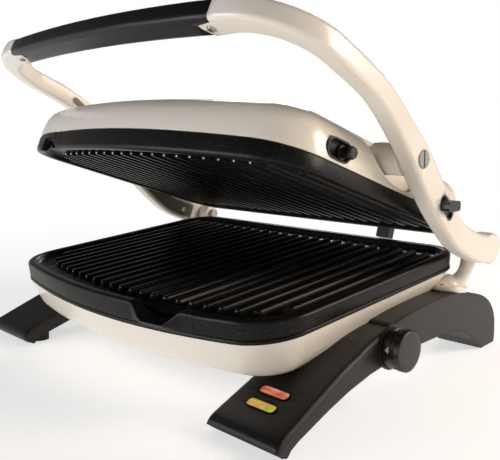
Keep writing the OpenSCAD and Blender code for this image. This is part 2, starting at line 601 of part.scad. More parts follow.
module dial() color([0.1, 0.1, 0.1]) place() translate([dial_x0, dial_y, dial_z]) rotate([0, 90, 0])
  difference() {
    rotate_extrude($fn = 96) polygon([[0, 0], [dial_d / 2 - 0.9, 0], [dial_d / 2 - 1.3, dial_len - 6.2],
      [dial_d / 2 - 0.3, dial_len - 5.6], [dial_d / 2, dial_len - 4.8], [dial_d / 2 - 0.3, dial_len - 3.2],
      [dial_d / 2 - 2.2, dial_len - 1.6], [dial_d / 2 - 5.5, dial_len - 0.5], [dial_d / 2 - 9, dial_len],
      [0, dial_len]]);
    translate([0, 0, -1]) cylinder(d = dial_shaft_d + 0.06, h = dial_len - 4);
    for (k = [0:23]) rotate([0, 0, k * 15]) translate([dial_d / 2 + 0.35, 0, dial_len - 8])
      cylinder(r = 0.9, h = 5.2, $fn = 16);
  }
module dial_shaft() color("silver") place() translate([box_x + 12.2, dial_y, dial_z]) rotate([0, 90, 0])
  difference() {
    cylinder(d = dial_shaft_d, h = dial_x0 + dial_len - 5.2 - box_x - 12.2);
    translate([dial_shaft_d / 2 - 1, -5, dial_x0 - box_x - 9]) cube([5, 10, 30]);
  }
module cord_gland() color([0.1, 0.1, 0.1]) place() gland_frame() difference() {
  union() {
    translate([0, 0, 0.05]) cylinder(r = 6, h = gland_depth - 0.3);
    translate([0, 0, 3.2]) cylinder(r = 7.5, h = 2);
  }
  translate([0, 0, -1]) cylinder(r = 3.6, h = 12);
}

// ---------------------------------------------------------------- handle
function hoop(x, s, n = 0) = [x, grip_y - s * ce + n * se, grip_z + s * se + n * ce];
// middle line of an arm above the hinge: place, height, thickness
arm_line = [[hinge_y, hinge_z, 22], [10, 90, 21.4], [-12.6, 98.5, 19.8], [-25.4, 106.5, 19.4],
  [-44.9, 124.3, 20.6], [-60.8, 142.2, 21.8], [-73.2, 157.2, 20.6], [-84.5, 169.1, 17.8],
  [-106.5, 189.5, 15.8], [-121, 200.2, 15], [-138, 209.2, 15]];
arc_x = arm_x - bow_r;
arc_n = 9;
stations = concat(
  [for (p = through(arm_line, 2)) [[arm_x, p[0], p[1]], [1, 0, 0], arm_w, p[2]]],
  [for (i = [0:arc_n]) let (a = 90 * i / arc_n)
    [hoop(arc_x + bow_r * cos(a), -bow_r + bow_r * sin(a)), [cos(a), -ce * sin(a), se * sin(a)],
     lerp(arm_w, grip_depth - 0.6, i / arc_n), lerp(15, grip_t, min(1, 2 * i / arc_n))]],
  [[hoop(grip_half + gap / 2, 0), [0, -ce, se], grip_depth - 0.6, grip_t]]);
function unit(v) = v / norm(v);
function rbox(a, b, r, n = 3) = [for (q = [[1, 1, 0], [-1, 1, 90], [-1, -1, 180], [1, -1, 270]])
  for (i = [0:n]) let (t = q[2] + 90 * i / n)
  [q[0] * (a - r) + r * cos(t), q[1] * (b - r) + r * sin(t)]];
module arm_tube() loft([for (i = [0:len(stations) - 1])
  let (p = stations[i], q = stations[min(i + 1, len(stations) - 1)], o = stations[max(i - 1, 0)],
       t = unit(q[0] - o[0]), l = p[1], n = unit(cross(t, l)))
  [for (s = rbox(p[2] / 2, p[3] / 2, 3.2)) p[0] + l * s[0] + n * s[1]]]);
arm_low = [for (p = through([for (i = [1:5]) arm_line[i]], 3)) p];
function side_pts(l, s, m) = [for (i = [0:len(l) - 1])
  let (a = l[max(i - 1, 0)], b = l[min(i + 1, len(l) - 1)], v = unit([b[0] - a[0], b[1] - a[1]]))
  [l[i][0] + s * v[1] * (l[i][2] / 2 - m), l[i][1] - s * v[0] * (l[i][2] / 2 - m)]];
module arm_web(m, t) rotate([90, 0, 90]) linear_extrude(t) polygon(concat(side_pts(arm_low, 1, m),
  [for (i = [len(arm_low) - 1:-1:0]) side_pts(arm_low, -1, m)[i]]));
liner_t = 1.5;
liner_screw = [-2, 93.6];
module tongue(g) multmatrix([[1, 0, 0, 0], [0, -ce, se, grip_y], [0, se, ce, grip_z], [0, 0, 0, 1]])
  translate([0, 0, -grip_t / 2 - (g > 0 ? 2 : 0)]) linear_extrude(4 + g + (g > 0 ? 2 : 0))
  polygon([[grip_half + 6, 6 + g], [grip_half - 11 - g, 4 + g], [grip_half - 11 - g, 1],
    [grip_half - 7 - g, -grip_depth / 2 + 2.5 - g], [grip_half + 6, -grip_depth / 2 + 2.5 - g]]);
tongue_screw = [grip_half - 4, 0];
module at_grip_screws() for (sx = [-1, 1])
  translate(hoop(sx * tongue_screw[0], tongue_screw[1], -grip_t / 2))
  rotate([-bow_slope, 0, 0]) children();
module arm_solid() {
  union() {
    arm_tube();
    translate([arm_in_x, hinge_y, hinge_z]) rotate([0, 90, 0]) cylinder(d = lobe_d, h = arm_w, $fn = 96);
    tongue(0);
  }
}
head_h = 1.8;
module arm() difference() {
  arm_solid();
  translate([arm_in_x - 1, hinge_y, hinge_z]) rotate([0, 90, 0])
    cylinder(d = hinge_pin_d + 2 * pin_gap, h = arm_w - 1.2);
  translate([arm_in_x - 9, pivot_y, pivot_z]) rotate([0, 90, 0])
    cylinder(d = pivot_pin_d + 2 * pin_gap, h = 60);
  translate([arm_in_x + arm_w - head_h, pivot_y, pivot_z]) rotate([0, 90, 0])
    cylinder(d = pivot_head_d + 0.3, h = 10);
  translate([arm_in_x - 1, 0, 0]) arm_web(3.4, liner_t + 1.05);
  translate([arm_in_x + liner_t - 1, liner_screw[0], liner_screw[1]]) rotate([0, 90, 0])
    cylinder(r = screw_r, h = 7);
  translate(hoop(tongue_screw[0], tongue_screw[1], -grip_t / 2 - 1)) rotate([-bow_slope, 0, 0])
    cylinder(r = screw_r + 0.1, h = 12);
}
latch_y = -43;
latch_z = 124;
latch_a = 48;
module latch_frame() translate([arm_in_x + arm_w, latch_y, latch_z]) rotate([90, 0, 90])
  rotate([0, 0, 180 - latch_a]) children();
module arm_right() color("ivory") place() difference() {
  arm();
  latch_frame() translate([0, 0, -2.6]) linear_extrude(5) slot_shape(21.2, 9.2);
}
module arm_left() color("ivory") place() mirror([1, 0, 0]) arm();
module arm_liner() difference() {
  translate([arm_in_x, 0, 0]) arm_web(3.7, liner_t);
  translate([arm_in_x - 1, liner_screw[0], liner_screw[1]]) rotate([0, 90, 0])
    cylinder(r = screw_r + 0.1, h = 7);
}
module arm_liner_right() color("gray") place() arm_liner();
module arm_liner_left() color("gray") place() mirror([1, 0, 0]) arm_liner();
module liner_screws() color("silver") place() both()
  translate([arm_in_x - 0.02, liner_screw[0], liner_screw[1]]) rotate([0, 90, 0])
    screw(screw_r - 0.03, 7, 2.8, 1.2);
grip_n = 12;
function grip_s(x) = grip_bow * (1 - pow(x / grip_half, 2));
module grip() color([0.09, 0.09, 0.09]) place() difference() {
  loft([for (i = [grip_n:-1:0]) let (x = lerp(-grip_half, grip_half, i / grip_n))
    [for (p = concat(rbox(grip_depth / 2, grip_t / 2, 4.2))) hoop(x, p[0] + grip_s(x), p[1])]]);
  both() tongue(0.2);
  at_grip_screws() translate([0, 0, -1]) cylinder(r = screw_r, h = 11.5);
}
module grip_screws() color("silver") place() at_grip_screws() screw(screw_r - 0.03, 10, 2.8, 1.2);
pin_l = arm_in_x + arm_w - head_h - scoop_x - 4;
module pivot_screws() color("lightgray") place() both()
  translate([arm_in_x + arm_w - head_h + 0.02, pivot_y, pivot_z]) rotate([0, 90, 0]) difference() {
    union() {
      cylinder(d = pivot_head_d, h = head_h + pivot_out - 0.02);
      translate([0, 0, -pin_l]) cylinder(d = pivot_pin_d, h = pin_l + 0.1);
    }
    translate([-pivot_head_d, -0.7, head_h - 0.5]) cube([2 * pivot_head_d, 1.4, 3]);
  }
module latch_slot() color([0.06, 0.06, 0.06]) place() latch_frame() translate([0, 0, -2.55]) difference() {
  linear_extrude(2.55) slot_shape(21, 9);
  translate([0, 0, 1]) linear_extrude(5) slot_shape(18, 6.2);
}
module latch() color([0.1, 0.1, 0.1]) place() latch_frame() translate([2, 0, -1.45]) {
  linear_extrude(1.6) slot_shape(9.5, 5.8);
  translate([-2.6, -2.6, 1]) cube([5.2, 5.2, 1.6]);
  translate([0, 0, 1.6]) rotate([0, 0, latch_a]) translate([-7.5, -3.4, 0]) pad2(15, 6.8, 2.4, 6.5);
}
module pad2(w, d, r, h) translate([w / 2, d / 2, 0]) pad(w, d, r, h);

// ---------------------------------------------------------------- lid
scoop_c = [-76.3, 60];
module scoop(x0, r) translate([x0, scoop_c[0], scoop_c[1]]) rotate([0, 90, 0])
  cylinder(r = r, h = 60, $fn = 96);
slide_c = [-147.3, 18.5];
module lid_shell() color("ivory") place() lid_frame() difference() {
  mirror([0, 0, 1]) bowl_skin(lid_side, lid_h);
  both() scoop(scoop_x, scoop_r);
  translate([side_x - 6, slide_c[0], slide_c[1]]) rotate([90, 0, 90]) linear_extrude(20)
    slot_shape(24.4, 13.4);
}
module upper_plate() color([0.09, 0.09, 0.1]) place() lid_frame() mirror([0, 0, 1]) plate_body();
module upper_element() color("dimgray") place() lid_frame() mirror([0, 0, 1]) element_loop();
module upper_reflector() color("silver") place() lid_frame() mirror([0, 0, 1])
  translate([0, 0, refl_w]) heat_shield(0.8);
lid_in = rim_h - rim_lip + lid_h - bowl_wall;
module lid_posts() color("silver") place() lid_frame() mirror([0, 0, 1]) at_posts()
  stand(-lid_in + 0.6, under_w - 0.05, refl_w - 0.02);
// wall that closes the scoop on the inside, with the boss for the pivot pin
module ear_shape() intersection() {
  translate([scoop_c[0], scoop_c[1]]) circle(r = scoop_r + 3, $fn = 96);
  polygon([[-side_x + 15.2, 12.5], [-30, 12.5], [-30, 33.2], [-side_x + 15.2, 33.2]]);
}
module pivot_ear() difference() {
  union() {
    translate([scoop_x - 2.6, 0, 0]) rotate([90, 0, 90]) linear_extrude(2.7) ear_shape();
    translate([scoop_x + 0.05, -lid_pivot_run, lid_pivot_rise]) rotate([0, 90, 0])
      cylinder(r = 11, h = arm_in_x - gap - scoop_x - 0.05);
  }
  translate([scoop_x + 3.5, -lid_pivot_run, lid_pivot_rise]) rotate([0, 90, 0])
    cylinder(d = pivot_pin_d + 2 * pin_gap, h = 40);
}
module pivot_ear_right() color("tan") place() lid_frame() pivot_ear();
module pivot_ear_left() color("tan") place() lid_frame() mirror([1, 0, 0]) pivot_ear();
module dish_frame() translate([plate_w / 2 - 5.9, slide_c[0], slide_c[1]]) rotate([90, 0, 90]) children();
module lid_dish() color([0.07, 0.07, 0.07]) place() lid_frame() dish_frame() difference() {
  linear_extrude(5.2) slot_shape(24, 13);
  translate([0, 0, 1.2]) linear_extrude(6) slot_shape(21.6, 10.6);
}
module lid_slide() color([0.1, 0.1, 0.1]) place() lid_frame() dish_frame() translate([5.4, 0, 1.5]) {
  cylinder(r = 4.6, h = 1.6);
  cylinder(r = 3.4, h = 8);
  translate([0, 0, 7]) cylinder(r1 = 3.4, r2 = 4.2, h = 1.4);
  translate([0, 0, 8.4]) cylinder(r1 = 4.2, r2 = 3.4, h = 1.6);
}
module lead_boot() color([0.08, 0.08, 0.08]) place() lid_frame() translate([68, rear_margin - 0.8, 0]) {
  translate([0, 0, 13.5]) cube([12, 11, 9]);
  translate([0, 3.4, -8]) cube([12, 7.6, 22]);
}

// ---------------------------------------------------------------- output
base_shell();
base_floor();
floor_screws();
plate_posts();
lower_reflector();
lower_element();
lower_plate();
leg_left();
leg_right();
control_cover();
leg_cover_left();
leg_cover_right();
leg_screws();
rubber_feet();
post_left();
post_right();
post_screws();
hinge_pins();
thermostat();
dial_bezel();
power_lens();
ready_lens();
lamps();
cord_gland();
dial();
dial_shaft();
arm_left();
arm_right();
arm_liner_left();
arm_liner_right();
liner_screws();
grip();
grip_screws();
pivot_screws();
latch_slot();
latch();
lid_shell();
upper_plate();
upper_element();
upper_reflector();
lid_posts();
pivot_ear_left();
pivot_ear_right();
lid_dish();
lead_boot();
lid_slide();
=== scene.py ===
"""Electric indoor grill with a hinged lid: finishes, fine details, camera and studio."""
import bmesh
import bpy
import json
import math
from mathutils import Matrix, Vector


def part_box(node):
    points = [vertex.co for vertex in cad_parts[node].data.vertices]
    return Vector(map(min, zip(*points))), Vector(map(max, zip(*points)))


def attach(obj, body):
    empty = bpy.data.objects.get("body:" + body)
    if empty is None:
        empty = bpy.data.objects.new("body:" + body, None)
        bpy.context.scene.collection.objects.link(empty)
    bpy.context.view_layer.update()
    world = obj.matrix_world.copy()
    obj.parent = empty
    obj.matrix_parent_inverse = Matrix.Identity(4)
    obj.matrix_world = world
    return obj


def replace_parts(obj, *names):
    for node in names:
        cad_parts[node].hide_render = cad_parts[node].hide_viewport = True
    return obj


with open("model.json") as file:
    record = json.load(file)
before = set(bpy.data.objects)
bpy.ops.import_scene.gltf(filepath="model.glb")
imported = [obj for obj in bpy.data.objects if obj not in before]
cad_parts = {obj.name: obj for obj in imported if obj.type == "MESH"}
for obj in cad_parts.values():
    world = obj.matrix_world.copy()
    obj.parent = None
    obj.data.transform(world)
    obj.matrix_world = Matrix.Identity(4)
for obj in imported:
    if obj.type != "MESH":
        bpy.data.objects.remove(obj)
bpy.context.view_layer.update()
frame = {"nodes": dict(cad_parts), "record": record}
nodes = frame["nodes"]
slot_of = {s["node"]: s["material_slot"] for s in frame["record"]["subparts"]}
body_of = {n: b for b, names in frame["record"]["behaviour"]["bodies"].items() for n in names}
MM = 0.001


# ------------------------------------------------------------------ colours and nodes
def linear(code):
    """sRGB hex value to linear colour with alpha."""
    rgb = [int(code[k:k + 2], 16) / 255 for k in (1, 3, 5)]
    return tuple(c / 12.92 if c <= 0.04045 else ((c + 0.055) / 1.055) ** 2.4 for c in rgb) + (1.0,)


def add(tree, kind, links=None, values=None, stops=(), **settings):
    """Adds one node with its settings, fixed socket values, incoming links and colour stops.

    A stop is a position with a hex value or a grey from 0 to 1.
    """
    node = tree.nodes.new(kind)
    for key, value in settings.items():
        setattr(node, key, value)
    for key, value in (values or {}).items():
        node.inputs[key].default_value = value
    for key, source in (links or {}).items():
        tree.links.new(source, node.inputs[key])
    if stops:
        elements = node.color_ramp.elements
        while len(elements) < len(stops):
            elements.new(0.5)
        for element, (place, colour) in zip(elements, stops):
            element.position = place
            element.color = linear(colour) if isinstance(colour, str) else (colour,) * 3 + (1,)
    return node


def per_metre(size_mm):
    """Texture scale whose cells are size_mm across, in object coordinates in metres."""
    return 1000.0 / size_mm


def start(name, **shader):
    """New material with its shader, output and object coordinates."""
    material = bpy.data.materials.new(name)
    material.use_nodes = True
    tree = material.node_tree
    tree.nodes.clear()
    bsdf = add(tree, "ShaderNodeBsdfPrincipled", values=shader)
    add(tree, "ShaderNodeOutputMaterial", {"Surface": bsdf.outputs["BSDF"]})
    where = add(tree, "ShaderNodeTexCoord").outputs["Object"]
    return material, tree, bsdf, where


def grain(tree, bsdf, where, size_mm, depth_mm, edge_mm):
    """Fine moulded or cast grain over edges that are broken by a small radius."""
    edge = add(tree, "ShaderNodeBevel", values={"Radius": edge_mm * MM}, samples=4)
    noise = add(tree, "ShaderNodeTexNoise", {"Vector": where},
                {"Scale": per_metre(size_mm), "Detail": 2.0, "Roughness": 0.6})
    bump = add(tree, "ShaderNodeBump",
               {"Height": noise.outputs["Fac"], "Normal": edge.outputs["Normal"]},
               {"Strength": 1.0, "Distance": depth_mm * MM})
    tree.links.new(bump.outputs["Normal"], bsdf.inputs["Normal"])
    return noise.outputs["Fac"]


def drift(tree, where, size_mm, low, high):
    """Slow colour change between two close hex values."""
    noise = add(tree, "ShaderNodeTexNoise", {"Vector": where},
                {"Scale": per_metre(size_mm), "Detail": 3.0, "Roughness": 0.55})
    return add(tree, "ShaderNodeValToRGB", {"Fac": noise.outputs["Fac"]},
               stops=[(0.3, low), (0.7, high)]).outputs["Color"]


def moulded(name, low, high, roughness, grain_mm, depth_mm, edge_mm, ior, coat=0.0, gloss=0.5):
    """Moulded or pressed material: even colour, faint drift, fine grain and soft edges.

    The grain of a real mould is 0.2 to 0.4 mm. It is drawn at up to 1.1 mm so that it shows.
    """
    material, tree, bsdf, where = start(name, IOR=ior)
    bsdf.inputs["Specular IOR Level"].default_value = gloss
    bsdf.inputs["Coat Weight"].default_value = coat
    bsdf.inputs["Coat Roughness"].default_value = 0.12
    colour = drift(tree, where, 60, low, high)
    tree.links.new(colour, bsdf.inputs["Base Color"])
    fine = grain(tree, bsdf, where, grain_mm, depth_mm, edge_mm)
    spread = add(tree, "ShaderNodeMapRange", {"Value": fine},
                 {"To Min": roughness - 0.05, "To Max": roughness + 0.05})
    tree.links.new(spread.outputs["Result"], bsdf.inputs["Roughness"])
    return material


# ------------------------------------------------------------------ finishes
def cream_abs():
    """Glossy moulded ABS in warm cream: broad soft highlights over a faint 7 mm orange peel."""
    return moulded("glossy_cream_abs", "#EEE4D5", "#F2EADE", roughness=0.23, grain_mm=7.0,
                   depth_mm=0.004, edge_mm=0.8, ior=1.52, coat=0.14)


def leg_plastic():
    """Textured black polypropylene: fine spark grain that greys in side light."""
    return moulded("spark_grained_black_pp", "#211E1E", "#272323", roughness=0.42, grain_mm=0.9,
                   depth_mm=0.03, edge_mm=2.6, ior=1.49, gloss=0.3)


def cover_plastic():
    """Grained black ABS, a touch smoother than the legs; its colour is darker than theirs, partly
    as painted shade for the front end, which lies darker in the light.
    """
    return moulded("satin_black_abs_with_painted_shade", "#151313", "#1A1717", roughness=0.38, grain_mm=0.9,
                   depth_mm=0.025, edge_mm=3.0, ior=1.5, gloss=0.3)


def grip_plastic():
    """Smooth satin black nylon of the grip: one soft sheen along its top."""
    return moulded("satin_black_nylon", "#0F0E0E", "#151414", roughness=0.34, grain_mm=1.1,
                   depth_mm=0.012, edge_mm=1.4, ior=1.5, gloss=0.25)


def dial_plastic():
    """Semi-gloss black ABS of the knob: small bright edges on its pads and teeth."""
    return moulded("knob_black_abs", "#161414", "#1E1B1A", roughness=0.36, grain_mm=0.8,
                   depth_mm=0.012, edge_mm=0.35, ior=1.52)


def latch_plastic():
    """Smoky black acetal of the sliding tabs, slightly glossy."""
    return moulded("smoky_black_acetal", "#1B1A19", "#242221", roughness=0.30, grain_mm=0.8,
                   depth_mm=0.010, edge_mm=0.5, ior=1.48)


def boot_plastic():
    """Dull black thermoplastic rubber of the boot and gland: hardly any shine."""
    return moulded("dull_black_tpe", "#121212", "#191818", roughness=0.62, grain_mm=0.8,
                   depth_mm=0.03, edge_mm=0.6, ior=1.5)


def liner_plastic():
    """Olive-grey moulded liner of the recesses: flat and matt."""
    return moulded("olive_grey_moulding", "#6A654F", "#757059", roughness=0.5, grain_mm=0.9,
                   depth_mm=0.02, edge_mm=0.5, ior=1.5)


def foot_rubber():
    """Black moulded rubber: dull, with a dusty bloom."""
    return moulded("moulded_black_rubber", "#17181A", "#222324", roughness=0.8, grain_mm=0.6,
                   depth_mm=0.03, edge_mm=0.4, ior=1.52)


def fired_ceramic():
    """Unglazed pressed steatite: chalky off-white with a fine grain."""
    return moulded("unglazed_steatite", "#C9C2B2", "#D6D0C2", roughness=0.7, grain_mm=0.7,
                   depth_mm=0.03, edge_mm=0.3, ior=1.55)


def printed_white():
    """White pad-printed ink of the numerals: opaque, slightly uneven."""
    return moulded("white_pad_print", "#C9C9C9", "#D9D9D9", roughness=0.5, grain_mm=0.4,
                   depth_mm=0.004, edge_mm=0.1, ior=1.5)


def coated_cast_plate():
    """Die-cast aluminium under a sprayed black non-stick coat: satin, with fine grit specks."""
    material, tree, bsdf, where = start("speckled_nonstick_on_cast_aluminium", IOR=1.5)
    bsdf.inputs["Specular IOR Level"].default_value = 0.16
    base = drift(tree, where, 45, "#121111", "#1A1817")
    # specks are about 0.5 mm on the real coat, drawn at 0.8 mm in 1.4 mm cells so that they show
    grit = add(tree, "ShaderNodeTexVoronoi", {"Vector": where}, {"Scale": per_metre(1.4)},
               feature="F1")
    speck = add(tree, "ShaderNodeValToRGB", {"Fac": grit.outputs["Distance"]},
                stops=[(0.10, 1.0), (0.30, 0.0)])
    # patches of 3 mm decide which cells have a speck
    pick = add(tree, "ShaderNodeTexNoise", {"Vector": where},
               {"Scale": per_metre(3.1), "Detail": 1.0})
    some = add(tree, "ShaderNodeValToRGB", {"Fac": pick.outputs["Fac"]},
               stops=[(0.46, 0.0), (0.60, 1.0)])
    mask = add(tree, "ShaderNodeMath", {0: speck.outputs["Color"], 1: some.outputs["Color"]},
               operation="MULTIPLY")
    faint = add(tree, "ShaderNodeMath", {0: mask.outputs[0]}, {1: 0.34}, operation="MULTIPLY")
    mixed = add(tree, "ShaderNodeMix", {0: faint.outputs[0], 6: base}, {7: linear("#847B74")},
                data_type="RGBA")
    tree.links.new(mixed.outputs[2], bsdf.inputs["Base Color"])
    fine = grain(tree, bsdf, where, 0.9, 0.05, 0.7)
    spread = add(tree, "ShaderNodeMapRange", {"Value": fine}, {"To Min": 0.27, "To Max": 0.38})
    tree.links.new(spread.outputs["Result"], bsdf.inputs["Roughness"])
    return material


def metal(name, low, high, roughness, streak_mm, stretch):
    """Metal with drawn or plated streaks: stretch is below 1 on the axis that they run along."""
    material, tree, bsdf, where = start(name, Metallic=1.0)
    lie = add(tree, "ShaderNodeMapping", {"Vector": where}, {"Scale": stretch})
    noise = add(tree, "ShaderNodeTexNoise", {"Vector": lie.outputs["Vector"]},
                {"Scale": per_metre(streak_mm), "Detail": 3.0})
    tone = add(tree, "ShaderNodeValToRGB", {"Fac": noise.outputs["Fac"]},
               stops=[(0.3, low), (0.7, high)])
    tree.links.new(tone.outputs["Color"], bsdf.inputs["Base Color"])
    spread = add(tree, "ShaderNodeMapRange", {"Value": noise.outputs["Fac"]},
                 {"To Min": roughness - 0.06, "To Max": roughness + 0.08})
    tree.links.new(spread.outputs["Result"], bsdf.inputs["Roughness"])
    edge = add(tree, "ShaderNodeBevel", values={"Radius": 0.25 * MM}, samples=4)
    bump = add(tree, "ShaderNodeBump",
               {"Height": noise.outputs["Fac"], "Normal": edge.outputs["Normal"]},
               {"Strength": 0.6, "Distance": 0.01 * MM})
    tree.links.new(bump.outputs["Normal"], bsdf.inputs["Normal"])
    return material


def lit_lens(name, stops, glow, run=(0.22, 1.0, 1.0)):
    """Tinted acrylic over a glowing neon lamp: colour runs in streaks along the lens."""
    material, tree, bsdf, where = start(name, IOR=1.49, Roughness=0.22)
    lie = add(tree, "ShaderNodeMapping", {"Vector": where}, {"Scale": run})
    blot = add(tree, "ShaderNodeTexNoise", {"Vector": lie.outputs["Vector"]},
               {"Scale": per_metre(3.2), "Detail": 1.5})
    colour = add(tree, "ShaderNodeValToRGB", {"Fac": blot.outputs["Fac"]},
                 stops=stops).outputs["Color"]
    tree.links.new(colour, bsdf.inputs["Base Color"])
    tree.links.new(colour, bsdf.inputs["Emission Color"])
    bsdf.inputs["Emission Strength"].default_value = glow
    grain(tree, bsdf, where, 1.2, 0.05, 0.3)
    return material


finish = {
    "cream_plastic": cream_abs(),
    "nonstick_cast": coated_cast_plate(),
    "leg_plastic": leg_plastic(),
    "cover_plastic": cover_plastic(),
    "boot_plastic": boot_plastic(),
    "dial_plastic": dial_plastic(),
    "grip_plastic": grip_plastic(),
    "liner_plastic": liner_plastic(),
    "latch_plastic": latch_plastic(),
    # zinc-plated steel screws and pins: cool grey, softly mottled
    "steel": metal("zinc_plated_steel", "#8F8D8A", "#A9A7A3", 0.34, 1.2, (1, 1, 1)),
    "post_ceramic": fired_ceramic(),
    # rolled and pressed aluminium: pale, with long rolling streaks from front to rear
    "reflector_sheet": metal("pressed_aluminium_sheet", "#B9B9B8", "#CFCFCE", 0.32, 0.8,
                             (1, 0.05, 1)),
    # drawn steel tube that heat has darkened: brown-grey and dull
    "element_sheath": metal("oxidised_steel_tube", "#3A3633", "#54504C", 0.52, 2.5, (1, 1, 1)),
    "rubber": foot_rubber(),
    # red acrylic over its lamp: glows unevenly from orange-red to pale salmon
    "red_lens": lit_lens("lit_red_acrylic", [(0.34, "#D2583A"), (0.48, "#E47C5A"),
                                             (0.66, "#F6C6AC")], 0.26),
    # two-tone acrylic of the ready lamp: runs from green over yellow to pale amber
    "green_lens": lit_lens("lit_amber_green_acrylic", [(0.32, "#78AE34"), (0.44, "#DDD23A"),
                                                       (0.56, "#E6A24C"), (0.7, "#EECB94")], 0.24,
                           (0.4, 1.0, 1.0)),
    # glass of the neon lamps: an even orange glow
    "lamp_glass": lit_lens("neon_lamp_glass", [(0.3, "#F09040"), (0.7, "#FBC38A")], 0.5),
    "thermostat_case": fired_ceramic(),
}
# bright bare aluminium for the domes on the rib ends: painted highlights, bright against the black
rib_glint_metal = metal("rib_glint_aluminium", "#A3A09C", "#C4C2BE", 0.3, 0.6, (1, 1, 1))
ink = printed_white()


def wear(obj, material):
    """Puts one material on every slot of an object."""
    if not obj.data.materials:
        obj.data.materials.append(material)
    for k in range(len(obj.data.materials)):
        obj.data.materials[k] = material


for name, obj in nodes.items():
    wear(obj, finish[slot_of[name]])


# ------------------------------------------------------------------ making pieces
def to_mesh(bm, name):
    """Ends the mesh work and hands over the mesh."""
    mesh = bpy.data.meshes.new(name)
    bm.to_mesh(mesh)
    bm.free()
    return mesh


def piece(name, mesh, material, body, angle=35.0):
    """Links a mesh as a piece that rides on a body and takes a slot's finish."""
    obj = bpy.data.objects.new(name, mesh)
    bpy.context.scene.collection.objects.link(obj)
    wear(obj, material)
    mesh.polygons.foreach_set("use_smooth", [True] * len(mesh.polygons))
    mesh.set_sharp_from_angle(angle=math.radians(angle))
    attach(obj, body)
    return obj


def make(bm, name, material, body, angle=35.0):
    """Turns a finished form into a piece whose faces all look outwards."""
    bmesh.ops.recalc_face_normals(bm, faces=bm.faces)
    return piece(name, to_mesh(bm, name), material, body, angle)


def smooth_copy(node, angle, reshape):
    """The node's own form as one welded skin, reshaped where needed, with smooth shading."""
    bm = bmesh.new()
    bm.from_mesh(nodes[node].data)
    bmesh.ops.remove_doubles(bm, verts=bm.verts, dist=2e-6)
    bmesh.ops.dissolve_degenerate(bm, edges=bm.edges, dist=2e-6)
    if reshape:
        reshape(bm)
    obj = make(bm, node + "_skin", finish[slot_of[node]], body_of[node], angle)
    even = obj.modifiers.new("even_normals", "WEIGHTED_NORMAL")
    even.mode = "FACE_AREA"
    even.keep_sharp = True
    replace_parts(obj, node)


def tube(bm, rows, cap=True, loop=False):
    """Skin over closed rings of points, with capped ends, open ends or closed to a loop."""
    rings = [[bm.verts.new(p) for p in row] for row in rows]
    n = len(rings[0])
    for near, far in zip(rings, rings[1:] + rings[:1] if loop else rings[1:]):
        for j in range(n):
            bm.faces.new((near[j], near[(j + 1) % n], far[(j + 1) % n], far[j]))
    if cap and not loop:
        bm.faces.new(list(reversed(rings[0])))
        bm.faces.new(rings[-1])


def from_rows(name, rows, material, body, angle=35.0, cap=True):
    """One piece from one tube."""
    bm = bmesh.new()
    tube(bm, rows, cap)
    return make(bm, name, material, body, angle)


def circle(steps):
    """Cosine and sine of each step round a circle."""
    return [(math.cos(2 * math.pi * j / steps), math.sin(2 * math.pi * j / steps))
            for j in range(steps)]


def round_box(u, v, r, n=4):
    """Rounded rectangle outline of half sizes u and v, with n steps at each corner."""
    pts = []
    for su, sv, a in ((1, 1, 0), (-1, 1, 90), (-1, -1, 180), (1, -1, 270)):
        for k in range(n + 1):
            t = math.radians(a + 90 * k / n)
            pts.append((su * (u - r) + r * math.cos(t), sv * (v - r) + r * math.sin(t)))
    return pts


def soft_step(t):
    """Smooth step from 0 to 1."""
    t = min(1.0, max(0.0, t))
    return t * t * (3 - 2 * t)


def at(x, y, z):
    """Place in the shared frame, from millimetres."""
    return Vector((x, y, z)) * MM


# ------------------------------------------------------------------ frames of the plates
# the grill's middle plane lies a little left of the origin
MIDDLE_X = -2.94
HINGE_Y, HINGE_Z = 92.34, 88
PLATE_Y, PLATE_Z, PLATE_SLOPE = 65.34, 83.9, 5.31
PIVOT_Y, PIVOT_Z, LID_SLOPE = -8.66, 157, 17.48
PIVOT_RUN, PIVOT_RISE = 91.2, 29.5

# each plate's frame starts at the rear ends of its rib crests, with z out of the ribs
LOWER = (Matrix.Translation(at(MIDDLE_X, PLATE_Y, PLATE_Z))
         @ Matrix.Rotation(math.radians(PLATE_SLOPE), 4, "X"))
UPPER = (Matrix.Translation(at(MIDDLE_X, PIVOT_Y, PIVOT_Z))
         @ Matrix.Rotation(math.radians(-LID_SLOPE), 4, "X")
         @ Matrix.Translation(at(0, PIVOT_RUN, -PIVOT_RISE)) @ Matrix.Scale(-1, 4, (0, 0, 1)))

# ------------------------------------------------------------------ outline of the plates
# in a plate's frame, in millimetres
PLATE_HALF = 150.2
PLATE_FRONT, PLATE_REAR = -209.4, 20.8
BOW_R, FRONT_R, REAR_R = 535, 38, 25
RIB_PITCH, DRAIN_W = 12.0, 21.0


def front_line(x):
    """Outline of the bowed front edge of a plate."""
    return PLATE_FRONT + BOW_R - math.sqrt(BOW_R ** 2 - x * x)


def rim_outline(inset):
    """Whole rounded outline of a plate's rim, inset by some millimetres."""
    half_w, rear, bow = PLATE_HALF - inset, PLATE_REAR - inset, BOW_R - inset
    front_r, rear_r = FRONT_R - inset, REAR_R - inset
    bow_y = PLATE_FRONT + inset + bow
    corner_y = bow_y - math.sqrt((bow - front_r) ** 2 - (half_w - front_r) ** 2)
    phi = math.asin((half_w - front_r) / (bow - front_r))
    half = [(bow * math.sin(phi * k / 14), bow_y - bow * math.cos(phi * k / 14))
            for k in range(14)]
    for k in range(11):
        a = phi + (math.pi / 2 - phi) * k / 10
        half.append((half_w - front_r + front_r * math.sin(a), corner_y - front_r * math.cos(a)))
    for k in range(11):
        a = math.pi / 2 * k / 10
        half.append((half_w - rear_r + rear_r * math.cos(a), rear - rear_r + rear_r * math.sin(a)))
    return half + [(-x, y) for x, y in reversed(half[1:])]


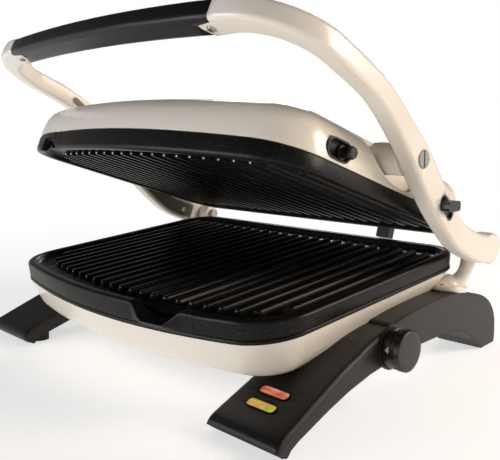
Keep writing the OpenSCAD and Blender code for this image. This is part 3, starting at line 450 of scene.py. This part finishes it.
def part_height(y):
    """Height of the rim's lower edge: 9.9 below the crests, and 3.5 more at the very front."""
    return -9.9 - 3.5 * max(0.0, (-150 - y) / 59.4) ** 2


# ------------------------------------------------------------------ shapes of the skins
LEG_FRONT, TOE_R = -140.66, 5.5
LOBE, LOBE_R, LOBE_SOFT = at(0, HINGE_Y, HINGE_Z), 11.7, 2.0


def round_toe(bm):
    """Rolls the top of a leg's front end over a wide radius, then evens out its flat sides."""
    front = LEG_FRONT * MM
    for deep in (0.3, 1.0, 2.1, 3.6, TOE_R):
        bmesh.ops.bisect_plane(bm, geom=bm.verts[:] + bm.edges[:] + bm.faces[:],
                               plane_co=(0, front + deep * MM, 0), plane_no=(0, 1, 0))
    for v in bm.verts:
        deep = (v.co.y - front) / MM
        if deep < TOE_R:
            roll = TOE_R - math.sqrt(TOE_R ** 2 - (TOE_R - max(0.0, deep)) ** 2)
            # none at the foot, all of it from 13 mm above the table
            v.co.z -= roll * MM * min(1.0, max(0.0, (v.co.z / MM - 5.0) / 8.0))
    bm.normal_update()
    merge_flat(bm)


def merge_flat(bm):
    """Joins the flat triangles of a moulding's side into one face, so that it shades flat."""
    flat = [e for e in bm.edges if len(e.link_faces) == 2
            and e.link_faces[0].normal.dot(e.link_faces[1].normal) > 0.99999
            and abs(e.link_faces[0].normal.x) > 0.9]
    bmesh.ops.dissolve_edges(bm, edges=flat, use_verts=False)


def round_lobe(bm):
    """Breaks the sharp rims of the arm's hinge lobe with a small radius."""
    across = [v.co.x for v in bm.verts if (v.co - LOBE).yz.length < 12 * MM]
    ends = (min(across), 1), (max(across), -1)
    for end, way in ends:
        for deep in (0.25, 0.9, LOBE_SOFT):
            # the lobe's own faces and the large flat sides that they border
            near = [f for f in bm.faces
                    if (f.calc_center_median() - LOBE).yz.length < 16 * MM or f.calc_area() > 6e-5]
            geom = list({g for f in near for g in [f, *f.edges, *f.verts]})
            bmesh.ops.bisect_plane(bm, geom=geom, plane_co=(end + way * deep * MM, 0, 0),
                                   plane_no=(1, 0, 0))
    for end, way in ends:
        for v in bm.verts:
            arm = (v.co - LOBE).yz
            deep = (v.co.x - end) * way / MM
            if deep > LOBE_SOFT + 0.05 or abs(arm.length / MM - LOBE_R) > 0.12:
                continue
            shrink = LOBE_SOFT - math.sqrt(
                max(0.0, LOBE_SOFT ** 2 - (LOBE_SOFT - max(0.0, deep)) ** 2))
            arm *= (LOBE_R - shrink) / (arm.length / MM)
            v.co.y, v.co.z = LOBE.y + arm.x, LOBE.z + arm.y


def boxy_bowl(bm):
    """Fills the bowl out towards its rim at the front, where its wall stands nearly upright."""
    # the rounded front corners start here, off the middle
    corner_x = 112.2
    # a point moves this share of its way to the outline, fully up to an inset, then less
    share, full_inset, fade = 0.6, 36, 22
    back = LOWER.inverted()
    for v in bm.verts:
        p = back @ v.co / MM
        below = part_height(p.y) - p.z
        # it starts 112 mm ahead of the ribs' rear ends and is full 56 mm further on
        front = soft_step((-112 - p.y) / 56)
        if below < 0.6 or front == 0:
            continue
        if abs(p.x) < corner_x:
            inset = p.y - front_line(p.x)
            out = Vector((0.0, -1.0))
        else:
            corner_y = front_line(min(abs(p.x), 118)) + FRONT_R
            out = p.xy - Vector((math.copysign(corner_x, p.x), max(corner_y, min(p.y, -4))))
            inset = FRONT_R - out.length
        if out.length < 1e-6 or inset > 60:
            continue
        keep = 1 - soft_step((inset - full_inset) / fade)
        move = out.normalized() * (max(0.0, min(inset, full_inset) - 1.0) * share * front * keep)
        p.x += move.x
        p.y += move.y
        v.co = LOWER @ (p * MM)


def cut_for_spout(frame_of, middle, half):
    """Returns a reshape that clears the rim between two planes for a poured-lip piece."""
    def reshape(bm):
        """Cuts the rim's skin at both ends and behind its crest, and drops what lies between."""
        back = frame_of.inverted()
        turn = frame_of.to_3x3()
        inner = Vector((-middle / BOW_R, 1, 0)).normalized()
        inner_at = Vector((middle, front_line(middle) + 11.0, 0))
        for co, no in ((Vector((middle - half, 0, 0)), Vector((1, 0, 0))),
                       (Vector((middle + half, 0, 0)), Vector((1, 0, 0))), (inner_at, inner)):
            bmesh.ops.bisect_plane(bm, geom=bm.verts[:] + bm.edges[:] + bm.faces[:],
                                   plane_co=frame_of @ (co * MM), plane_no=turn @ no)
        doomed = []
        for f in bm.faces:
            p = back @ f.calc_center_median() / MM
            if abs(p.x - middle) < half and (p - inner_at).dot(inner) < 0:
                doomed.append(f)
        bmesh.ops.delete(bm, geom=doomed, context="FACES")
    return reshape


# place across and half length of the piece that each plate's spout replaces
SPOUT_X, SPOUT_HALF = 62, 32
UPPER_SPOUT_X, UPPER_SPOUT_HALF = -97, 22
# node: angle in degrees above which an edge stays sharp, and what reshapes its skin
SMOOTH_SHELLS = {
    "base_shell": (38, boxy_bowl), "lid_shell": (38, None),
    "lower_plate": (34, cut_for_spout(LOWER, SPOUT_X, SPOUT_HALF)),
    "upper_plate": (34, cut_for_spout(UPPER, UPPER_SPOUT_X, UPPER_SPOUT_HALF)),
    "leg_left": (32, round_toe), "leg_right": (32, round_toe), "control_cover": (32, round_toe),
    "arm_left": (40, round_lobe), "arm_right": (40, round_lobe), "grip": (38, None),
}
for node, (angle, reshape) in SMOOTH_SHELLS.items():
    smooth_copy(node, angle, reshape)


# ------------------------------------------------------------------ poured lips of the plates
# section of the cast rim: inset from its outline and height over the rib crests
RIM_SECTION = [(11.6, -13.0), (1.7, -13.05), (0.95, -12.5), (0.65, -11.4), (0.42, -8.6),
               (0.25, -4.5), (0.17, -2.2), (0.25, -0.8), (0.45, 0.05), (0.9, 0.65), (1.5, 0.97),
               (2.3, 1.1), (3.6, 1.13), (5.1, 1.12), (6.2, 0.85), (7.0, 0.35), (8.1, -1.2),
               (9.5, -3.6), (10.3, -6.0), (11.1, -8.55), (11.6, -8.75)]
NOTCH_FLOOR = -8.4


def spout(name, frame_of, middle, length_half, body, floor_half, mouth_half, depth, lip_out):
    """Rim section with a smooth pouring notch whose bottom flares outwards.

    Depth is a share of the rim's height. The notch's floor and mouth are half widths.
    """
    rows = []
    for s in [-length_half + 2 * length_half * k / 60 for k in range(61)]:
        x = middle + s
        notch = soft_step((mouth_half - abs(s)) / (mouth_half - floor_half))
        row = []
        for inset, w in RIM_SECTION:
            if w > NOTCH_FLOOR:
                w = NOTCH_FLOOR + (w - NOTCH_FLOOR) * (1 - notch * depth)
            # the outer wall flares from its foot up, and the lip sinks by up to 0.9 mm
            flare = soft_step((w + 13.2) / 4.5) * soft_step((9.5 - inset) / 7)
            drop = 0.9 * notch * soft_step((7 - inset) / 7) * (1 if w > -12 else 0.3)
            y = front_line(x) + inset - lip_out * notch * flare
            row.append(frame_of @ at(x, y, w - drop))
        rows.append(row)
    from_rows(name, rows, finish["nonstick_cast"], body, 44, cap=False)


spout("lower_spout", LOWER, SPOUT_X, SPOUT_HALF, "base", 8.0, 24.0, 0.97, 3.6)
spout("upper_spout", UPPER, UPPER_SPOUT_X, UPPER_SPOUT_HALF, body_of["upper_plate"], 6.0, 19.0,
      0.95, 0.6)


def rib_tips(name, frame_of, body, size):
    """Small bright metal domes on the ribs' front ends: painted highlights for the glints of the
    rounded rib ends.
    """
    bm = bmesh.new()
    for k in range(-9, 10):
        x = RIB_PITCH * k
        middle = Vector((x, front_line(x) + DRAIN_W, -1.4))
        tube(bm, [[frame_of @ ((middle + Vector((r * size * c, -h, r * size * s))) * MM)
                   for c, s in circle(12)]
                  for r, h in ((1.0, -0.2), (0.96, 0.08), (0.75, 0.26), (0.4, 0.36), (0.06, 0.4))])
    make(bm, name, rib_glint_metal, body, 60)


rib_tips("upper_rib_tips", UPPER, body_of["upper_plate"], 1.0)
rib_tips("lower_rib_tips", LOWER, "base", 0.7)


def rim_skirt():
    """Lower band of the plate's rim, a little under its edge and set back by a fine step."""
    section = ((4.5, 0.3), (0.75, 0.3), (0.45, -0.25), (0.4, -1.7), (0.9, -2.25), (4.5, -2.4))
    loops = [[LOWER @ at(x, y, part_height(y) + w) for x, y in rim_outline(inset)]
             for inset, w in section]
    n = len(loops[0])
    bm = bmesh.new()
    tube(bm, [[loop[k % n] for loop in loops] for k in range(n + 1)], cap=False)
    bmesh.ops.remove_doubles(bm, verts=bm.verts, dist=1e-6)
    make(bm, "lower_rim_skirt", finish["nonstick_cast"], "base", 40)


rim_skirt()


# ------------------------------------------------------------------ hinge posts
# foot: radius and height over the leg; column: x, y, z and radius; barrel: x and radius
POST_FOOT, POST_TILT = Vector((139.4, 78.8, 54.1)), -8.3
FOOT_SECTION = ((13.2, -0.2), (13.9, 0.5), (14.1, 1.4), (14.1, 2.9), (13.7, 4.0), (12.7, 4.8),
                (11.2, 5.1))
COLUMN = ((142.6, 80.8, 59.3, 9.0), (144.2, 82.2, 60.2, 7.2), (145.9, 83.6, 62.0, 6.0),
          (147.7, 85.4, 65.4, 5.4), (149.3, 87.0, 70.0, 5.2), (150.2, 88.0, 75.0, 5.4),
          (150.6, 89.4, 80.0, 6.1), (150.6, 91.2, 85.0, 7.3), (150.3, 92.34, 89.0, 7.0),
          (150.0, 92.4, 92.5, 4.5))
BARREL = ((141.9, 3.4), (141.9, 7.2), (142.2, 7.8), (142.8, 8.0), (153.6, 8.0), (154.1, 7.7),
          (154.26, 7.2), (154.26, 3.4))


def hinge_post(name, side):
    """Curved post with a thick oval foot, flared into it and into the hinge barrel."""
    def place(p):
        """Point of the right post, mirrored for the left one."""
        return at(p.x if side > 0 else 2 * MIDDLE_X - p.x, p.y, p.z)

    rows = []
    tilt = Matrix.Rotation(math.radians(POST_TILT), 3, "X")
    for r, h in FOOT_SECTION:
        # an oval of two half rounds that stand 5 mm apart
        rows.append([place(POST_FOOT + tilt @ Vector((r * c, r * s + (2.5 if s > 0 else -2.5), h)))
                     for c, s in circle(40)])
    for k, (x, y, z, r) in enumerate(COLUMN):
        ahead = (Vector(COLUMN[min(k + 1, len(COLUMN) - 1)][:3])
                 - Vector(COLUMN[max(k - 1, 0)][:3]))
        ahead.normalize()
        u = Vector((1, 0, 0)) - ahead * ahead.x
        u.normalize()
        v = ahead.cross(u)
        rows.append([place(Vector((x, y, z)) + (u * c + v * s) * r) for c, s in circle(40)])
    post = from_rows(name, rows, finish["cream_plastic"], "base", 50)
    rows = [[place(Vector((x, HINGE_Y + r * c, HINGE_Z + r * s))) for c, s in circle(40)]
            for x, r in BARREL]
    barrel = from_rows(name + "_barrel", rows, finish["cream_plastic"], "base", 50)
    return post, barrel


for node, side in (("post_right", 1), ("post_left", -1)):
    for part in hinge_post(node + "_form", side):
        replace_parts(part, node)


# ------------------------------------------------------------------ slots of the arms
def arm_slot(name, face_x, way):
    """Small oval slot with a raised lip on the inner face of an arm's upper run."""
    along, across, up = Vector((0, 0.79, -0.61)), Vector((0, 0.61, 0.79)), Vector((way, 0, 0))
    middle = at(face_x, -56.0, 199.2)

    def ring(half_u, half_v, h):
        """Oval at a height over the arm's face, from its half length and half width."""
        return [middle + (along * u + across * v + up * h) * MM
                for u, v in round_box(half_u, half_v, half_v - 0.05, 6)]

    lip = [ring(*row) for row in ((8.3, 3.9, -0.3), (8.2, 3.8, 0.15), (7.7, 3.3, 0.3),
                                  (7.2, 2.8, 0.1), (7.0, 2.6, -0.2))]
    floor = [ring(*row) for row in ((7.1, 2.7, -0.25), (7.1, 2.7, 0.02), (5.5, 1.4, 0.05))]
    body = body_of["arm_left"]
    from_rows(name + "_lip", lip + lip[:1], finish["cream_plastic"], body, 50,
              cap=False)
    from_rows(name + "_floor", floor, finish["liner_plastic"], body, 50)


# the inner faces of the two arms
arm_slot("left_arm_slot", -160.44, 1)
arm_slot("right_arm_slot", 154.56, -1)


# ------------------------------------------------------------------ dial
dial_low, dial_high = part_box("dial")
DIAL_Y, DIAL_Z = (dial_low.y + dial_high.y) / 2, (dial_low.z + dial_high.z) / 2
# distance from the dial's inner end and radius
DIAL_SECTION = ((0.0, 0.4), (0.0, 11.6), (0.15, 12.4), (0.6, 12.9), (1.4, 13.05), (5.0, 13.15),
                (9.0, 13.25), (12.3, 13.3), (12.9, 13.2), (13.2, 12.9), (13.35, 12.3),
                (13.45, 11.2), (13.6, 8.0), (13.75, 4.0), (13.8, 0.4))


def on_dial(x, r, a):
    """Point at x from the dial's inner end and r from its axis, a radians up from the front."""
    return Vector((dial_low.x + x, DIAL_Y - r * math.cos(a), DIAL_Z + r * math.sin(a)))


def dial_body():
    """Turned form of the knob: a nearly straight side, a broken edge and a crowned cap."""
    rows = [[on_dial(x * MM, r * MM, 2 * math.pi * j / 72) for j in range(72)]
            for x, r in DIAL_SECTION]
    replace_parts(from_rows("dial_form", rows, finish["dial_plastic"], "dial", 40),
                "dial")


def numerals():
    """Raised white numerals 1 to 5 round the side of the dial, with the 4 facing the front."""
    radius, pitch, facing = 13.15 * MM, 74, 8
    for digit in range(1, 6):
        text = bpy.data.curves.new("numeral", "FONT")
        text.body = str(digit)
        text.size = 6.2 * MM
        text.extrude = 0.12 * MM
        text.align_x = "CENTER"
        text.align_y = "CENTER"
        holder = bpy.data.objects.new("numeral_source", text)
        bpy.context.scene.collection.objects.link(holder)
        bpy.context.view_layer.update()
        graph = bpy.context.evaluated_depsgraph_get()
        flat = bpy.data.meshes.new_from_object(holder.evaluated_get(graph))
        bpy.data.objects.remove(holder)
        bm = bmesh.new()
        bm.from_mesh(flat)
        # long edges are split so that the flat figure bends with the dial's side
        bmesh.ops.subdivide_edges(bm, edges=[e for e in bm.edges if e.calc_length() > 1.2 * MM],
                                  cuts=2, use_grid_fill=False)
        turn = math.radians(facing + pitch * (digit - 4))
        for v in bm.verts:
            v.co = on_dial(4.9 * MM + v.co.x, radius + v.co.z + 0.08 * MM, turn + v.co.y / radius)
        piece("dial_numeral_%d" % digit, to_mesh(bm, "dial_numeral"), ink, "dial")


def dial_grip():
    """Eighteen raised grip pads round the dial, and the fine teeth of its outer edge."""
    side = 13.25 * MM
    pads = round_box(2.1 * MM, 1.6 * MM, 0.7 * MM)
    teeth = round_box(0.55 * MM, 0.42 * MM, 0.3 * MM, 2)
    bm = bmesh.new()
    # count, angle of the first, distance from the inner end, depth sunk into the side,
    # outline, height, and how far the top is drawn in
    for count, first, x, sunk, outline, height, drawn in (
            (18, 10, 9.9, 0.15, pads, 0.45, 0.25), (54, 0, 12.75, 0.1, teeth, 0.28, 0.3)):
        for k in range(count):
            turn = math.radians(k * 360 / count + first)
            tube(bm, [[on_dial(x * MM + u * (1 - draw), side - sunk * MM + h * MM,
                               turn + v * (1 - draw) / side) for u, v in outline]
                      for h, draw in ((0.0, 0.0), (height * 0.7, 0.15), (height, drawn))])
    make(bm, "dial_grip_pads", finish["dial_plastic"], "dial")


dial_body()
numerals()
dial_grip()


# ------------------------------------------------------------------ lenses
LENS_TILT = math.radians(22.8)
LENS_ACROSS = Vector((0, math.cos(LENS_TILT), math.sin(LENS_TILT)))
LENS_UP = Vector((0, -math.sin(LENS_TILT), math.cos(LENS_TILT)))


def lens_top(node):
    """Middle of a lens's top face, and the lens's length."""
    low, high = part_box(node)
    middle = (low + high) / 2
    top = max(v.co.dot(LENS_UP) for v in nodes[node].data.vertices)
    return middle + LENS_UP * (top - middle.dot(LENS_UP)), high.x - low.x


def lens_ribs(node, slot):
    """Three lengthwise half-round ribs that stand on the lens and catch the light."""
    centre, length = lens_top(node)
    half_w, height, steps = 0.5 * MM, 0.22 * MM, 6
    bm = bmesh.new()
    for shift in (-1.35, 0.0, 1.35):
        half_l = (length - (4.6 - abs(shift)) * MM) / 2
        tube(bm, [[centre + LENS_ACROSS * (shift * MM + half_w * math.cos(math.pi * k / steps))
                   + LENS_UP * (height * math.sin(math.pi * k / steps))
                   + Vector((end, 0, 0)) for k in range(steps + 1)]
                  for end in (-half_l, half_l)])
    make(bm, node + "_ribs", finish[slot], "base")


def lens_rim(node):
    """Thin black rim of the lens's window, nearly flush with the cover."""
    centre = lens_top(node)[0]
    outer = round_box(11.25 * MM, 3.45 * MM, 3.3 * MM, 6)
    inner = round_box(10.5 * MM, 2.8 * MM, 2.2 * MM, 6)
    bm = bmesh.new()
    tube(bm, [[centre + Vector((u, 0, 0)) + LENS_ACROSS * v + LENS_UP * (h * MM)
               for u, v in outline]
              for outline, h in ((outer, -0.75), (outer, -0.02), (inner, 0.07), (inner, -0.15))],
         loop=True)
    make(bm, node + "_rim", finish["cover_plastic"], "base")


for node, slot in (("power_lens", "red_lens"), ("ready_lens", "green_lens")):
    lens_ribs(node, slot)
    lens_rim(node)


# ------------------------------------------------------------------ camera, floor and lights
def camera():
    """Sets the camera a little above the plates, off the front right corner."""
    data = bpy.data.cameras.new("camera")
    data.sensor_width = 36.0
    data.sensor_fit = "HORIZONTAL"
    data.lens = 49.27
    data.clip_start = 0.01
    data.clip_end = 50.0
    eye = bpy.data.objects.new("camera", data)
    eye.location = (0.39856, -0.38876, 0.1742)
    eye.rotation_euler = (math.radians(81.82), 0, math.radians(45.42))
    bpy.context.scene.collection.objects.link(eye)
    bpy.context.scene.camera = eye


def backdrop_paper():
    """Matt white paper: keeps the grill's shadow and fades to plain white further out."""
    material, tree, bsdf, where = start("matt_white_backdrop_paper", Roughness=0.9)
    bsdf.inputs["Base Color"].default_value = linear("#F4F3F1")
    bsdf.inputs["Specular IOR Level"].default_value = 0.1
    path = add(tree, "ShaderNodeLightPath")
    seen = add(tree, "ShaderNodeMath", {0: path.outputs["Is Camera Ray"],
                                        1: path.outputs["Is Glossy Ray"]}, operation="MAXIMUM")
    # what the camera sees near the grill, and what lights the grill from below
    glow = add(tree, "ShaderNodeEmission", values={"Color": (1, 1, 1, 1), "Strength": 0.6})
    table = add(tree, "ShaderNodeEmission", values={"Color": (1, 0.98, 0.95, 1), "Strength": 0.5})
    lift = add(tree, "ShaderNodeMixShader", {"Fac": path.outputs["Is Camera Ray"],
                                             1: table.outputs[0], 2: glow.outputs[0]})
    near = add(tree, "ShaderNodeAddShader", {0: bsdf.outputs[0], 1: lift.outputs[0]})
    far = add(tree, "ShaderNodeVectorMath", {0: where}, operation="LENGTH")
    fade = add(tree, "ShaderNodeMapRange", {"Value": far.outputs["Value"]},
               {"From Min": 0.35, "From Max": 0.8})
    share = add(tree, "ShaderNodeMath", {0: fade.outputs["Result"], 1: seen.outputs[0]},
                operation="MULTIPLY")
    white = add(tree, "ShaderNodeEmission", values={"Color": (1, 1, 1, 1), "Strength": 1.0})
    paper = add(tree, "ShaderNodeMixShader", {"Fac": share.outputs[0], 1: near.outputs[0],
                                              2: white.outputs[0]})
    out = [n for n in tree.nodes if n.type == "OUTPUT_MATERIAL"][0]
    tree.links.new(paper.outputs[0], out.inputs["Surface"])
    return material


def floor():
    """Wide round floor of backdrop paper."""
    bm = bmesh.new()
    bmesh.ops.create_circle(bm, cap_ends=True, segments=96, radius=12.0)
    mesh = to_mesh(bm, "floor")
    mesh.materials.append(backdrop_paper())
    obj = bpy.data.objects.new("floor", mesh)
    bpy.context.scene.collection.objects.link(obj)


def room():
    """Grey room that darkens upwards for the grill, and plain white for the camera."""
    world = bpy.data.worlds.new("studio")
    bpy.context.scene.world = world
    world.use_nodes = True
    tree = world.node_tree
    tree.nodes.clear()
    way = add(tree, "ShaderNodeTexCoord").outputs["Generated"]
    split = add(tree, "ShaderNodeSeparateXYZ", {"Vector": way})
    sky = add(tree, "ShaderNodeValToRGB", {"Fac": split.outputs["Z"]},
              stops=[(0.0, "#F1EEE9"), (0.2, "#A9A7A4"), (0.6, "#52504D")])
    walls = add(tree, "ShaderNodeBackground", {"Color": sky.outputs["Color"]}, {"Strength": 0.7})
    white = add(tree, "ShaderNodeBackground", values={"Color": (1, 1, 1, 1), "Strength": 1.0})
    path = add(tree, "ShaderNodeLightPath")
    mix = add(tree, "ShaderNodeMixShader", {"Fac": path.outputs["Is Camera Ray"],
                                            1: walls.outputs[0], 2: white.outputs[0]})
    add(tree, "ShaderNodeOutputWorld", {"Surface": mix.outputs[0]})


def lamp(name, place, aim, size, watts, colour):
    """Soft rectangular lamp at a place, turned to its aim."""
    light = bpy.data.lights.new(name, "AREA")
    light.shape = "RECTANGLE"
    light.size, light.size_y = size
    light.energy = watts
    light.color = linear(colour)[:3]
    obj = bpy.data.objects.new(name, light)
    obj.location = place
    obj.rotation_euler = (Vector(aim) - Vector(place)).to_track_quat("-Z", "Y").to_euler()
    bpy.context.scene.collection.objects.link(obj)


bpy.context.scene.view_settings.view_transform = "Standard"
camera()
floor()
room()
lamp("side_softbox", (1.05, 0.72, 0.55), (0.05, 0.05, 0.08), (0.6, 0.5), 11.0, "#FFF0E0")
lamp("rear_strip", (-1.1, 1.3, 0.95), (0, 0, 0.1), (0.7, 0.16), 5.5, "#FFFFFF")
lamp("front_softbox", (-0.75, -1.7, 0.22), (0, 0, 0.06), (1.2, 0.4), 15.0, "#EFF4FF")
